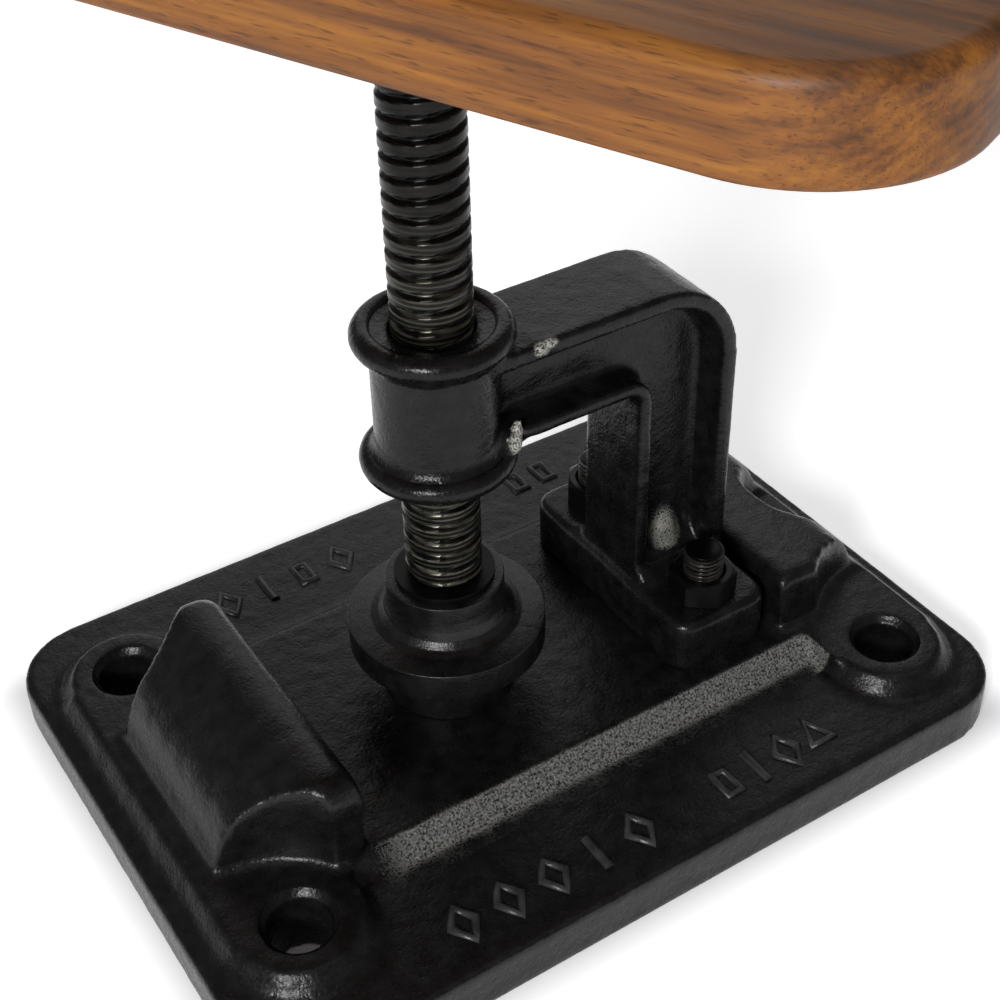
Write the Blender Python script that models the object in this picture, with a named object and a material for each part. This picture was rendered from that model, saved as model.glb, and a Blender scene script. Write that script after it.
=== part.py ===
"""Adjustable swivel stool: cast base plate, C-arm casting, screw spindle, wooden seat."""

import math

import bmesh
import bpy
from mathutils import Matrix, Vector

MM = 0.001

# ---------------------------------------------------------------- driving dimensions, mm
AXIS_X = -25.5          # spindle axis, from the middle of the base plate
PLATE_L = 340.0         # along X
PLATE_W = 246.0         # along Y
PLATE_R = 30.0          # corner radius in plan
FLANGE_Z = 21.0         # top of the low flange
PAD_Z = 29.5            # top of the raised pad and of the side platforms
PAD_Y = 61.0            # half depth of the pad at its top
PAD_RUN = 7.2           # how far the pad's front slope runs out
PLATFORM_X = 157.0      # outer edge of the side platforms
HOLE_LEFT = (-133.0, 75.0)
HOLE_RIGHT = (133.5, 82.0)
HOLE_R = 11.6
HOLE_RIM_R = 14.2
LOBE_R = 22.0
LOBE_RUN = 6.6
JAW_X_LEFT = 97.0       # inner face of the left jaw
JAW_X_RIGHT = 99.0
JAW_END_LEFT = 62.5
JAW_END_RIGHT = 55.0

FOOT_X = (75.0, 121.5)  # from the spindle axis
FOOT_Y = 53.5
FOOT_Z = (29.8, 53.0)
FOOT_R = 10.0
ARM_TOP_Z = 186.0
ARM_OUT_X = 122.3       # outer face of the column, from the spindle axis
ARM_OUT_R = 37.0
RIM_T = 7.0
RIM_HALF = 20.0
LIP_Z = 145.0           # underside of the arm's inner flange
LIP_X = 78.0            # inner face of the column
LIP_T = 6.2
LIP_R = 5.0
LIP_HALF = 18.0
WEB_HALF = 4.6
STUD_X = 98.0
STUD_Y = 36.5
STUD_R = 8.0
STUD_TOP = 74.3
NUT_AF = 24.0
NUT_Z = (53.3, 64.3)

BORE_R = 14.9
SPINDLE_R = 14.6
THREAD_Z0 = 86.7        # shoulder where the threaded part ends
SPIGOT_Z = 337.0        # shoulder under the seat flange
SPINDLE_TOP = 358.0
SPIGOT_R = 12.0
JOURNAL_R = 9.0
JOURNAL_Z0 = 11.5

SEAT_Z = 359.0
SEAT_T = 24.0
SEAT_L = 420.0
SEAT_W = 279.0
SEAT_R = 39.5
SEAT_ANGLE = -66.7      # the board's long direction, degrees from X
SEAT_EDGE_R = 5.0
FLANGE_R = 52.0
HUB_R = 23.0
SCREW_RING = 38.0
SCREW_R = 2.2
PIN_R = 2.5
CLEAR = 0.3

TURN = 40               # sides of a turned part


# ---------------------------------------------------------------- helpers
def clear_scene():
    for obj in list(bpy.data.objects):
        bpy.data.objects.remove(obj, do_unlink=True)


def material(name, colour, metallic, roughness):
    mat = bpy.data.materials.new(name)
    mat.use_nodes = True
    shader = mat.node_tree.nodes["Principled BSDF"]
    shader.inputs["Base Color"].default_value = (*colour, 1.0)
    shader.inputs["Metallic"].default_value = metallic
    shader.inputs["Roughness"].default_value = roughness
    mat.diffuse_color = (*colour, 1.0)
    return mat


def new_object(name, bm):
    bmesh.ops.remove_doubles(bm, verts=bm.verts, dist=1e-6)
    bmesh.ops.recalc_face_normals(bm, faces=bm.faces)
    mesh = bpy.data.meshes.new(name)
    bm.to_mesh(mesh)
    bm.free()
    obj = bpy.data.objects.new(name, mesh)
    bpy.context.scene.collection.objects.link(obj)
    return obj


def loft(name, loops):
    """A solid through closed loops of (x, y, z) in mm, all with the same number of points."""
    bm = bmesh.new()
    rows = [[bm.verts.new(Vector(p) * MM) for p in loop] for loop in loops]
    count = len(loops[0])
    for low, high in zip(rows, rows[1:]):
        for i in range(count):
            j = (i + 1) % count
            bm.faces.new((low[i], low[j], high[j], high[i]))
    bm.faces.new(rows[0][::-1])
    bm.faces.new(rows[-1])
    return new_object(name, bm)


def turned(name, profile, x=0.0, y=0.0, sides=TURN):
    """A turned solid about a vertical axis; profile is a closed loop of (radius, z)."""
    bm = bmesh.new()
    rings = []
    for r, z in profile:
        if r < 1e-6:
            rings.append([bm.verts.new(Vector((x, y, z)) * MM)])
            continue
        ring = []
        for i in range(sides):
            a = 2 * math.pi * i / sides
            ring.append(bm.verts.new(Vector((x + r * math.cos(a), y + r * math.sin(a), z)) * MM))
        rings.append(ring)
    for low, high in zip(rings, rings[1:] + rings[:1]):
        for i in range(sides):
            j = (i + 1) % sides
            quad = [low[i % len(low)], low[j % len(low)], high[j % len(high)], high[i % len(high)]]
            face = list(dict.fromkeys(quad))
            if len(face) > 2:
                bm.faces.new(face)
    return new_object(name, bm)


def rounded_rect(x0, x1, y0, y1, r, z, steps=6):
    loop = []
    corners = ((x1 - r, y1 - r, 0), (x0 + r, y1 - r, 90), (x0 + r, y0 + r, 180), (x1 - r, y0 + r, 270))
    for cx, cy, start in corners:
        for k in range(steps + 1):
            a = math.radians(start + 90 * k / steps)
            loop.append((cx + r * math.cos(a), cy + r * math.sin(a), z))
    return loop


def rounded_block(name, x0, x1, y0, y1, r, z0, z1, top, base=0.0, steps=6):
    """An upright block with rounded corners and a rounded top edge of radius top."""
    loops = []
    if base:
        loops.append(rounded_rect(x0 + base, x1 - base, y0 + base, y1 - base, r - base, z0, steps))
        loops.append(rounded_rect(x0, x1, y0, y1, r, z0 + base, steps))
    else:
        loops.append(rounded_rect(x0, x1, y0, y1, r, z0, steps))
    rounds = 3
    for k in range(rounds + 1):
        a = math.radians(90 * k / rounds)
        d = top * (1 - math.cos(a))
        z = z1 - top + top * math.sin(a)
        loops.append(rounded_rect(x0 + d, x1 - d, y0 + d, y1 - d, r - d, z, steps))
    return loft(name, loops)


def plank(name, outline, half, x_shift=0.0):
    """An outline of (x, z) in mm carried from Y = -half to Y = +half."""
    return loft(name, [[(x + x_shift, y, z) for x, z in outline] for y in (-half, half)])


def cylinder(name, x, y, r, z0, z1, sides=32):
    return turned(name, [(0, z0), (r, z0), (r, z1), (0, z1)], x, y, sides)


def cone(name, x, y, r0, r1, z0, z1, sides=40):
    return turned(name, [(0, z0), (r0, z0), (r1, z1), (0, z1)], x, y, sides)


def weld(mesh, distance):
    bm = bmesh.new()
    bm.from_mesh(mesh)
    bmesh.ops.remove_doubles(bm, verts=bm.verts, dist=distance)
    bmesh.ops.dissolve_degenerate(bm, edges=bm.edges, dist=distance)
    bmesh.ops.triangulate(bm, faces=bm.faces)
    bmesh.ops.recalc_face_normals(bm, faces=bm.faces)
    bm.to_mesh(mesh)
    bm.free()


def merge_flats(mesh):
    """Joins the triangles that lie in one plane, which the Booleans leave many of."""
    bm = bmesh.new()
    bm.from_mesh(mesh)
    bmesh.ops.dissolve_limit(
        bm, angle_limit=math.radians(0.2), use_dissolve_boundaries=False, verts=bm.verts, edges=bm.edges,
    )
    bm.to_mesh(mesh)
    bm.free()


def combine(obj, others, operation):
    """One exact Boolean after another; the helpers are removed once used."""
    for other in others:
        modifier = obj.modifiers.new("combine", "BOOLEAN")
        modifier.operation = operation
        modifier.solver = "EXACT"
        modifier.object = other
        graph = bpy.context.evaluated_depsgraph_get()
        mesh = bpy.data.meshes.new_from_object(obj.evaluated_get(graph))
        obj.modifiers.clear()
        old = obj.data
        obj.data = mesh
        bpy.data.meshes.remove(old)
        weld(mesh, 2e-6)
        bpy.data.objects.remove(other, do_unlink=True)
    return obj


def finish(obj, name, mat):
    """Welds, drops slivers, names the object and gives it its material."""
    merge_flats(obj.data)
    weld(obj.data, 1e-5)
    obj.name = name
    obj.data.name = name
    obj.data.materials.clear()
    obj.data.materials.append(mat)
    return obj


def set_origin(obj, x, y, z):
    """Puts the object's origin on its joint axis without moving the solid."""
    shift = Vector((x, y, z)) * MM
    obj.data.transform(Matrix.Translation(-shift))
    obj.location = shift


def arc(cx, cz, r, start, end, steps):
    return [
        (cx + r * math.cos(math.radians(start + (end - start) * k / steps)),
         cz + r * math.sin(math.radians(start + (end - start) * k / steps)))
        for k in range(steps + 1)
    ]


# ---------------------------------------------------------------- base plate
LEFT_JAW = (
    (2.6, 8.0), (2.2, 14.0), (1.4, 24.0), (0.5, 33.0), (0.0, 38.0), (0.8, 41.5), (3.0, 44.2),
    (6.5, 46.0), (11.0, 46.7), (17.0, 46.0), (23.0, 44.0), (29.0, 41.0), (35.0, 37.2), (40.0, 33.4),
    (44.0, 29.2), (47.0, 24.6), (49.5, 18.8), (51.3, 13.0), (53.5, 8.0),
)
RIGHT_JAW = (
    (2.0, 8.0), (1.4, 20.0), (0.3, 30.0), (0.5, 33.0), (2.0, 35.0), (5.0, 35.9), (12.0, 35.7),
    (20.0, 34.9), (28.0, 33.7), (35.0, 32.2), (40.0, 30.5), (44.0, 28.0), (47.5, 24.2), (50.5, 18.8),
    (53.5, 12.6), (58.0, 8.0),
)
SOFT_END = ((0, 0.80), (3, 0.94), (8, 1.0))
CRISP_END = ((0, 0.88), (1.5, 0.965), (4, 1.0))
LEFT_SCALLOP = (-150.5, 88, 47.5, 47.5)
RIGHT_SCALLOP = (151.5, 86, 45.0, 46.5)
RIGHT_NOTCH = (154, -1.5, 24.0, 26.0)


def jaw(side, inner_x, end, profile, rounding):
    """One long lug beside the pad, with its ends rounded off."""
    loops = []
    sections = [(-end + inset, scale) for inset, scale in rounding]
    sections += [(end - inset, scale) for inset, scale in reversed(rounding)]
    for y, scale in sections:
        loop = []
        for u, h in profile:
            loop.append((side * (inner_x + u), y, FLANGE_Z + 8.0 + (h - 8.0) * scale))
        loops.append(loop)
    return loft("jaw", loops)


def scallops(place):
    """The hollows that give a spanner room over each corner hole."""
    x, y, r_low, r_high = place
    z0 = PAD_Z
    z1 = FLANGE_Z + 50
    return [cone("scallop", x, s * y, r_low, r_high, z0, z1) for s in (-1, 1)]


def relief_blocks():
    """Plain raised bars and studs in place of the founder's cast marks."""
    blocks = []
    front = ((-64, 6), (-46, 3), (-30, 6), (-12, 3), (6, 6), (24, 3), (54, 6), (70, 3), (86, 6), (100, 3))
    for x, width in front:
        blocks.append(rounded_block("mark", x - width, x + width, -104, -89, 2.5, 20, 22.6, 0.8, steps=2))
    for x, width in ((-94, 3), (-76, 6), (-58, 3), (-40, 6)):
        blocks.append(rounded_block("mark", x - width, x + width, 83, 99, 2.5, 20, 22.6, 0.8, steps=2))
    return blocks


def build_base(mat):
    half_l = PLATE_L / 2
    half_w = PLATE_W / 2
    base = rounded_block("base", -half_l, half_l, -half_w, half_w, PLATE_R, 0, FLANGE_Z, 2.0, steps=8)
    slope = PAD_RUN / (PAD_Z - FLANGE_Z)
    low = PAD_Y + slope * (PAD_Z - 20.0)
    pad = loft("pad", [
        [(-112, -low, 20), (112, -low, 20), (112, low, 20), (-112, low, 20)],
        [(-112, -PAD_Y, PAD_Z), (112, -PAD_Y, PAD_Z), (112, PAD_Y, PAD_Z), (-112, PAD_Y, PAD_Z)],
    ])
    parts = [pad]
    run = LOBE_RUN * (PAD_Z - 20.0) / (PAD_Z - FLANGE_Z)
    for side, hole in ((-1, HOLE_LEFT), (1, HOLE_RIGHT)):
        xs_low = sorted((side * 108, side * (PLATFORM_X + run)))
        xs_high = sorted((side * 108, side * PLATFORM_X))
        y = hole[1]
        parts.append(loft("platform", [
            [(xs_low[0], -y, 20), (xs_low[1], -y, 20), (xs_low[1], y, 20), (xs_low[0], y, 20)],
            [(xs_high[0], -y, PAD_Z), (xs_high[1], -y, PAD_Z), (xs_high[1], y, PAD_Z), (xs_high[0], y, PAD_Z)],
        ]))
        for s in (-1, 1):
            parts.append(cone("lobe", hole[0], s * y, LOBE_R + run, LOBE_R, 20, PAD_Z))
    parts.extend(relief_blocks())
    combine(base, parts, "UNION")
    x, y, r_low, r_high = RIGHT_NOTCH
    notch = cone("notch", x, y, r_low, r_high, PAD_Z, FLANGE_Z + 50)
    left = jaw(-1, JAW_X_LEFT, JAW_END_LEFT, LEFT_JAW, SOFT_END)
    right = jaw(1, JAW_X_RIGHT, JAW_END_RIGHT, RIGHT_JAW, CRISP_END)
    for lug, cutters in ((left, scallops(LEFT_SCALLOP)), (right, scallops(RIGHT_SCALLOP) + [notch])):
        combine(base, [combine(lug, cutters, "DIFFERENCE")], "UNION")
    cuts = []
    for hole in (HOLE_LEFT, HOLE_RIGHT):
        for s in (-1, 1):
            drop = PAD_Z - (HOLE_RIM_R - HOLE_R)
            profile = [(0, -1), (HOLE_R, -1), (HOLE_R, drop), (HOLE_RIM_R + 1, PAD_Z + 1), (0, PAD_Z + 1)]
            cuts.append(turned("hole", profile, hole[0], s * hole[1], 32))
    for s in (-1, 1):
        cuts.append(cylinder("tapped", AXIS_X + STUD_X, s * STUD_Y, STUD_R + CLEAR, 7.7, 40, 24))
    cuts.append(cylinder("socket", AXIS_X, 0, 16.3, 7.0, 40, TURN))
    combine(base, cuts, "DIFFERENCE")
    return finish(base, "base_plate", mat)


# ---------------------------------------------------------------- C-arm casting
def build_arm(mat):
    top = ARM_TOP_Z
    out = ARM_OUT_X
    low = FOOT_Z[1] - 4
    corner = arc(out - ARM_OUT_R, top - ARM_OUT_R, ARM_OUT_R, 90, 0, 10)
    inside_r = ARM_OUT_R - RIM_T
    rim_inside = arc(out - ARM_OUT_R, top - ARM_OUT_R, inside_r, 0, 90, 8)
    rim = [(8, top)] + corner + [(out, low), (out - RIM_T, low)] + rim_inside + [(8, top - RIM_T)]
    web_x = out - RIM_T / 2
    web_top = top - RIM_T / 2
    web = [(11, web_top)] + arc(web_x - 32, web_top - 32, 32, 90, 0, 8) + [(web_x, low), (LIP_X + 2, low)]
    web += [(LIP_X + 2, LIP_Z + 2), (11, LIP_Z + 2)]
    lip_inner = arc(LIP_X - LIP_R, LIP_Z - LIP_R, LIP_R, 0, 90, 4)
    lip_outer = arc(LIP_X - LIP_R, LIP_Z - LIP_R, LIP_R + LIP_T, 90, 0, 6)
    lip = [(LIP_X, low)] + lip_inner + [(9.5, LIP_Z), (9.5, LIP_Z + LIP_T)] + lip_outer + [(LIP_X + LIP_T, low)]
    arm = plank("arm", rim, RIM_HALF, AXIS_X)
    boss = turned("boss", [
        (0, 136.0), (23.6, 136.0), (26.6, 137.2), (28.2, 139.0), (28.7, 141.0), (28.0, 143.0),
        (26.2, 144.6), (23.8, 146.2), (22.6, 149.0), (22.6, 184.5), (23.8, 187.2), (26.2, 188.8),
        (28.2, 190.6), (28.9, 192.8), (28.2, 195.0), (26.4, 196.6), (24.6, 196.8), (23.5, 195.9),
        (23.2, 194.9), (0, 194.9),
    ], AXIS_X)
    foot = rounded_block(
        "foot", AXIS_X + FOOT_X[0], AXIS_X + FOOT_X[1], -FOOT_Y, FOOT_Y, FOOT_R, FOOT_Z[0], FOOT_Z[1], 3.0,
    )
    parts = [plank("web", web, WEB_HALF, AXIS_X), plank("lip", lip, LIP_HALF, AXIS_X), boss, foot]
    for s in (-1, 1):
        gusset = [(WEB_HALF - 1, 51), (WEB_HALF - 1, 66), (WEB_HALF + 4, 58), (WEB_HALF + 13, 51)]
        ends = [[(AXIS_X + x, s * y, z) for y, z in gusset] for x in (LIP_X + 2, out - 2)]
        parts.append(loft("gusset", ends))
        skirt = [(17, 50), (17, 61), (21.5, 56), (28, 51.5), (28, 50)]
        ends = [[(AXIS_X + x, s * y, z) for y, z in skirt] for x in (LIP_X + 1, out - 2)]
        parts.append(loft("skirt", ends))
    combine(arm, parts, "UNION")
    cuts = [cylinder("bore", AXIS_X, 0, BORE_R, 120, 210, TURN)]
    for s in (-1, 1):
        cuts.append(cylinder("stud_hole", AXIS_X + STUD_X, s * STUD_Y, STUD_R + CLEAR, 20, 90, 24))
        cuts.append(cylinder("spot_face", AXIS_X + STUD_X, s * STUD_Y, 16.5, FOOT_Z[1], 80, 32))
    combine(arm, cuts, "DIFFERENCE")
    return finish(arm, "arm_casting", mat)


def build_stud(side, mat):
    profile = [(0, 8.0), (STUD_R - 1.5, 8.0), (STUD_R, 9.5), (STUD_R, STUD_TOP - 1.6)]
    profile += [(STUD_R - 1.6, STUD_TOP), (0, STUD_TOP)]
    stud = turned("stud", profile, AXIS_X + STUD_X, side * STUD_Y, 24)
    return finish(stud, "stud_front" if side < 0 else "stud_back", mat)


def build_nut(side, mat):
    radius = NUT_AF / 2 / math.cos(math.radians(30))
    z0, z1 = NUT_Z
    turn = 22 if side < 0 else -8
    loops = []
    for r, z in ((radius - 1.0, z0), (radius, z0 + 0.8), (radius, z1 - 1.2), (radius - 1.9, z1)):
        loop = []
        for k in range(6):
            a = math.radians(60 * k + turn)
            loop.append((AXIS_X + STUD_X + r * math.cos(a), side * STUD_Y + r * math.sin(a), z))
        loops.append(loop)
    nut = loft("nut", loops)
    bore = cylinder("nut_bore", AXIS_X + STUD_X, side * STUD_Y, STUD_R + CLEAR, 40, 80, 24)
    combine(nut, [bore], "DIFFERENCE")
    return finish(nut, "nut_front" if side < 0 else "nut_back", mat)


# ---------------------------------------------------------------- cup, spindle, stop
def build_cup(mat):
    cup = turned("cup", [
        (0, 7.3), (16, 7.3), (16, 29.8), (26, 29.8), (26, 50.0), (27.5, 52.2), (38.2, 52.5), (38.6, 53.0),
        (38.6, 64.3), (38.1, 64.8), (31.0, 65.2), (28.0, 66.0), (25.4, 68.0), (23.8, 71.2), (23.0, 75.5),
        (22.8, 83.5), (22.2, 84.1), (12.4, 84.1), (12.4, 79.5), (9.4, 78.1), (9.4, 10.3), (0, 10.3),
    ], AXIS_X)
    return finish(cup, "pivot_cup", mat)


def build_washer(mat):
    washer = turned("washer", [(9.4, 84.4), (19.4, 84.4), (19.4, 86.4), (9.4, 86.4)], AXIS_X)
    finish(washer, "stop_washer", mat)
    set_origin(washer, AXIS_X, 0, 84.4)
    return washer


def build_ring(mat):
    ring = turned("ring", [(8.3, 81.3), (11.6, 81.3), (11.6, 83.7), (8.3, 83.7)], AXIS_X)
    finish(ring, "retaining_ring", mat)
    set_origin(ring, AXIS_X, 0, 81.3)
    return ring


def build_spindle(mat):
    spindle = turned("spindle", [
        (0, JOURNAL_Z0), (JOURNAL_R - 1.2, JOURNAL_Z0), (JOURNAL_R, JOURNAL_Z0 + 1.2), (JOURNAL_R, 81.0),
        (8.0, 81.0), (8.0, 84.0), (JOURNAL_R, 84.0), (JOURNAL_R, THREAD_Z0), (13.4, THREAD_Z0),
        (SPINDLE_R, THREAD_Z0 + 1.2), (SPINDLE_R, SPIGOT_Z), (SPIGOT_R, SPIGOT_Z),
        (SPIGOT_R, SPINDLE_TOP - 1), (SPIGOT_R - 1, SPINDLE_TOP), (0, SPINDLE_TOP),
    ], AXIS_X)
    combine(spindle, [pin_solid(PIN_R + CLEAR, 80)], "DIFFERENCE")
    finish(spindle, "spindle", mat)
    set_origin(spindle, AXIS_X, 0, JOURNAL_Z0)
    return spindle


def pin_solid(radius, length):
    bm = bmesh.new()
    bmesh.ops.create_cone(
        bm, cap_ends=True, segments=20, radius1=radius * MM, radius2=radius * MM, depth=length * MM,
    )
    across = math.radians(SEAT_ANGLE + 90)
    bmesh.ops.rotate(bm, verts=bm.verts, matrix=Matrix.Rotation(math.radians(90), 3, "Y"))
    bmesh.ops.rotate(bm, verts=bm.verts, matrix=Matrix.Rotation(across, 3, "Z"))
    bmesh.ops.translate(bm, verts=bm.verts, vec=Vector((AXIS_X, 0, 345.0)) * MM)
    return new_object("pin", bm)


# ---------------------------------------------------------------- seat
def screw_spots():
    spots = []
    for k in range(4):
        a = math.radians(SEAT_ANGLE + 45 + 90 * k)
        spots.append((AXIS_X + SCREW_RING * math.cos(a), SCREW_RING * math.sin(a)))
    return spots


def build_flange(mat):
    flange = turned("flange", [
        (SPIGOT_R + CLEAR, SPIGOT_Z + CLEAR), (HUB_R - 1, SPIGOT_Z + CLEAR), (HUB_R, SPIGOT_Z + 1.3),
        (HUB_R, 350.5), (HUB_R + 2.2, 352.7), (FLANGE_R - 1, 352.7), (FLANGE_R, 353.7),
        (FLANGE_R, SEAT_Z - CLEAR), (SPIGOT_R + CLEAR, SEAT_Z - CLEAR),
    ], AXIS_X)
    cuts = [pin_solid(PIN_R + CLEAR, 80)]
    for x, y in screw_spots():
        cuts.append(turned("screw_hole", [
            (0, 350), (5.6, 350), (5.6, 352.7), (2.6, 355.9), (2.6, 362), (0, 362),
        ], x, y, 20))
    combine(flange, cuts, "DIFFERENCE")
    finish(flange, "seat_flange", mat)
    set_origin(flange, AXIS_X, 0, SPIGOT_Z)
    return flange


def build_pin(mat):
    pin = finish(pin_solid(PIN_R, 2 * HUB_R + 3), "hub_pin", mat)
    set_origin(pin, AXIS_X, 0, 345)
    return pin


def build_screw(index, spot, mat):
    x, y = spot
    screw = turned("screw", [
        (0, 353.9), (1.6, 353.9), (1.6, 352.9), (4.9, 352.9), (5.0, 353.1), (SCREW_R, 356.2),
        (SCREW_R, 373.0), (0.5, 376.5), (0, 376.5),
    ], x, y, 20)
    finish(screw, "seat_screw_%d" % (index + 1), mat)
    set_origin(screw, AXIS_X, 0, 353)
    return screw


def build_seat(mat):
    seat = rounded_block(
        "seat", -SEAT_L / 2, SEAT_L / 2, -SEAT_W / 2, SEAT_W / 2, SEAT_R, 0, SEAT_T, SEAT_EDGE_R, 1.5, steps=10,
    )
    seat.data.transform(Matrix.Rotation(math.radians(SEAT_ANGLE), 4, "Z"))
    seat.data.transform(Matrix.Translation(Vector((AXIS_X, 0, SEAT_Z)) * MM))
    cuts = [cylinder("screw_pilot", x, y, SCREW_R + CLEAR, 350, SEAT_Z + 18, 16) for x, y in screw_spots()]
    combine(seat, cuts, "DIFFERENCE")
    finish(seat, "seat_board", mat)
    set_origin(seat, AXIS_X, 0, SEAT_Z)
    return seat


def main():
    clear_scene()
    iron = material("black_cast_iron", (0.020, 0.020, 0.021), 0.35, 0.42)
    iron_arm = material("black_cast_iron_arm", (0.018, 0.018, 0.019), 0.35, 0.40)
    iron_cup = material("black_cast_iron_cup", (0.019, 0.019, 0.020), 0.35, 0.40)
    steel = material("dark_oiled_steel", (0.10, 0.10, 0.10), 0.9, 0.35)
    fastener = material("blackened_steel", (0.04, 0.04, 0.042), 0.8, 0.38)
    bright = material("zinc_plated_steel", (0.45, 0.45, 0.44), 1.0, 0.35)
    painted = material("black_painted_steel", (0.025, 0.025, 0.026), 0.3, 0.45)
    wood = material("oiled_walnut", (0.20, 0.085, 0.03), 0.0, 0.38)
    build_base(iron)
    build_arm(iron_arm)
    for side in (-1, 1):
        build_stud(side, fastener)
        build_nut(side, fastener)
    build_cup(iron_cup)
    build_washer(bright)
    build_spindle(steel)
    build_ring(fastener)
    build_flange(painted)
    build_pin(bright)
    for index, spot in enumerate(screw_spots()):
        build_screw(index, spot, bright)
    build_seat(wood)


main()
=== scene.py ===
"""Adjustable swivel stool: the looks of its castings, screw spindle and board seat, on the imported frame."""

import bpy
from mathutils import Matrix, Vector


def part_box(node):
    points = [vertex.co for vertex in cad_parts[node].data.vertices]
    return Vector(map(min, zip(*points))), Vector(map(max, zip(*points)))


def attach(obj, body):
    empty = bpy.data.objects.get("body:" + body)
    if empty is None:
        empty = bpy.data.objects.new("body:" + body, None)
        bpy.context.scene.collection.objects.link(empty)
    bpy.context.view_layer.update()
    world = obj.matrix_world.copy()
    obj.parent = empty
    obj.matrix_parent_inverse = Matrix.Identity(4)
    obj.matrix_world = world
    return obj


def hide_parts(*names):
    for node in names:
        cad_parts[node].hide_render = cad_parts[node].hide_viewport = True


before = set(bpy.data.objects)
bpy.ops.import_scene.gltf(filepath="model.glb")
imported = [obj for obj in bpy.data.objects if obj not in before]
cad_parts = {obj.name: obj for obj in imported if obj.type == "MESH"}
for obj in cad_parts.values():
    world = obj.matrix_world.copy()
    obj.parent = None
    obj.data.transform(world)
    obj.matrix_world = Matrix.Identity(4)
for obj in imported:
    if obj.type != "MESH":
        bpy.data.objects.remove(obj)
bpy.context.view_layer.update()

import math

import bmesh
import bpy
import numpy as np
from bpy.props import FloatProperty, FloatVectorProperty, IntProperty, PointerProperty
from mathutils import Matrix, Vector, noise

bl_info = {
    "name": "Swivel Stool",
    "version": (1, 0, 0),
    "blender": (4, 5, 0),
    "location": "View3D > Sidebar > Stool",
    "description": "Builds a cast-iron swivel stool with a screw spindle and a board seat",
    "category": "Add Mesh",
}

MM = 0.001


# ---------------------------------------------------------------- places, from the frame
def low(node):
    return Vector(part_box(node)[0])


def high(node):
    return Vector(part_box(node)[1])


def middle(node):
    return (low(node) + high(node)) / 2


# heights above the floor, radii and the corner holes' centres, as the frame's parts have them
AXIS = Vector((middle("spindle").x, middle("spindle").y, 0))
SEAT_ANGLE = math.radians(-66.7)
FLANGE_TOP = 21.0 * MM
PAD_TOP = 29.5 * MM
JOURNAL_RADIUS = 9.0 * MM
THREAD_FOOT = 86.7 * MM
THREAD_HEAD = low("seat_flange").z
SPIGOT_RADIUS = 12.0 * MM
CORNER_HOLES = [(-0.133, -0.075), (-0.133, 0.075), (0.1335, -0.082), (0.1335, 0.082)]


def linear(hex_colour):
    """An sRGB hex colour as linear RGBA."""
    out = []
    for k in (1, 3, 5):
        c = int(hex_colour[k:k + 2], 16) / 255
        out.append(c / 12.92 if c <= 0.04045 else ((c + 0.055) / 1.055) ** 2.4)
    return (*out, 1.0)


# ---------------------------------------------------------------- sizes and colours to change
def length_property(name, description, mm):
    return FloatProperty(
        name=name, description=description, unit="LENGTH", subtype="DISTANCE", default=mm * MM,
    )


def colour_property(name, description, hex_colour):
    return FloatVectorProperty(
        name=name, description=description, subtype="COLOR", size=4, min=0, max=1,
        default=linear(hex_colour),
    )


class StoolSizes(bpy.types.PropertyGroup):
    skin: length_property("Casting skin", "Height of the sand skin's unevenness", 0.12)
    base_grain: length_property("Base mesh grain", "Mesh size of the base casting", 1.55)
    arm_grain: length_property("Arm mesh grain", "Mesh size of the arm casting", 1.15)
    thread_pitch: length_property("Spindle pitch", "Rise of the spindle in one turn", 7.0)
    thread_depth: length_property("Spindle thread depth", "Depth of the spindle's thread", 1.7)
    stud_pitch: length_property("Stud pitch", "Pitch of the fixing studs' thread", 2.0)
    mark_height: length_property("Mark height", "How far the cast marks stand up", 1.5)
    mark_size: length_property("Mark size", "Height of one cast mark across its row", 16.0)
    mark_stroke: length_property("Mark stroke", "Half the width of a cast mark's stroke", 2.2)
    board_edge: length_property("Board edge radius", "Rounding of the seat's top edge", 5.0)
    mark_seed: IntProperty(
        name="Mark seed", description="Picks the order of the cast marks' shapes", default=4, min=0,
    )


class StoolColours(bpy.types.PropertyGroup):
    iron: colour_property("Iron", "Black-waxed cast iron", "#0e0e0f")
    steel: colour_property("Spindle steel", "Oiled bar steel", "#1d1c1a")
    walnut: colour_property("Walnut", "Oiled walnut, middle tone", "#724519")
    floor: colour_property("Floor", "Studio floor", "#f7f7f8")


def sizes():
    return bpy.context.scene.stool_sizes


def colours():
    return bpy.context.scene.stool_colours


# ---------------------------------------------------------------- node and mesh helpers
def put(tree, kind, inputs=None, **settings):
    """Adds a node; an input is a value or the socket that feeds it."""
    node = tree.nodes.new(kind)
    for name, value in settings.items():
        setattr(node, name, value)
    for key, value in (inputs or {}).items():
        if isinstance(value, bpy.types.NodeSocket):
            tree.links.new(value, node.inputs[key])
        else:
            node.inputs[key].default_value = value
    return node


def ramp(node, *stops):
    """Sets a colour ramp's stops, each (place, hex colour)."""
    elements = node.color_ramp.elements
    while len(elements) > 1:
        elements.remove(elements[-1])
    for k, (place, colour) in enumerate(stops):
        element = elements[0] if k == 0 else elements.new(place)
        element.position = place
        element.color = linear(colour)
    return node


def new_material(name):
    material = bpy.data.materials.new(name)
    material.use_nodes = True
    tree = material.node_tree
    return material, tree, tree.nodes["Principled BSDF"]


def wire_shader(tree, shader, tone, rough, bump):
    """Feeds the shader's colour, roughness and normal."""
    tree.links.new(tone, shader.inputs["Base Color"])
    tree.links.new(rough, shader.inputs["Roughness"])
    tree.links.new(bump.outputs["Normal"], shader.inputs["Normal"])


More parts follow.
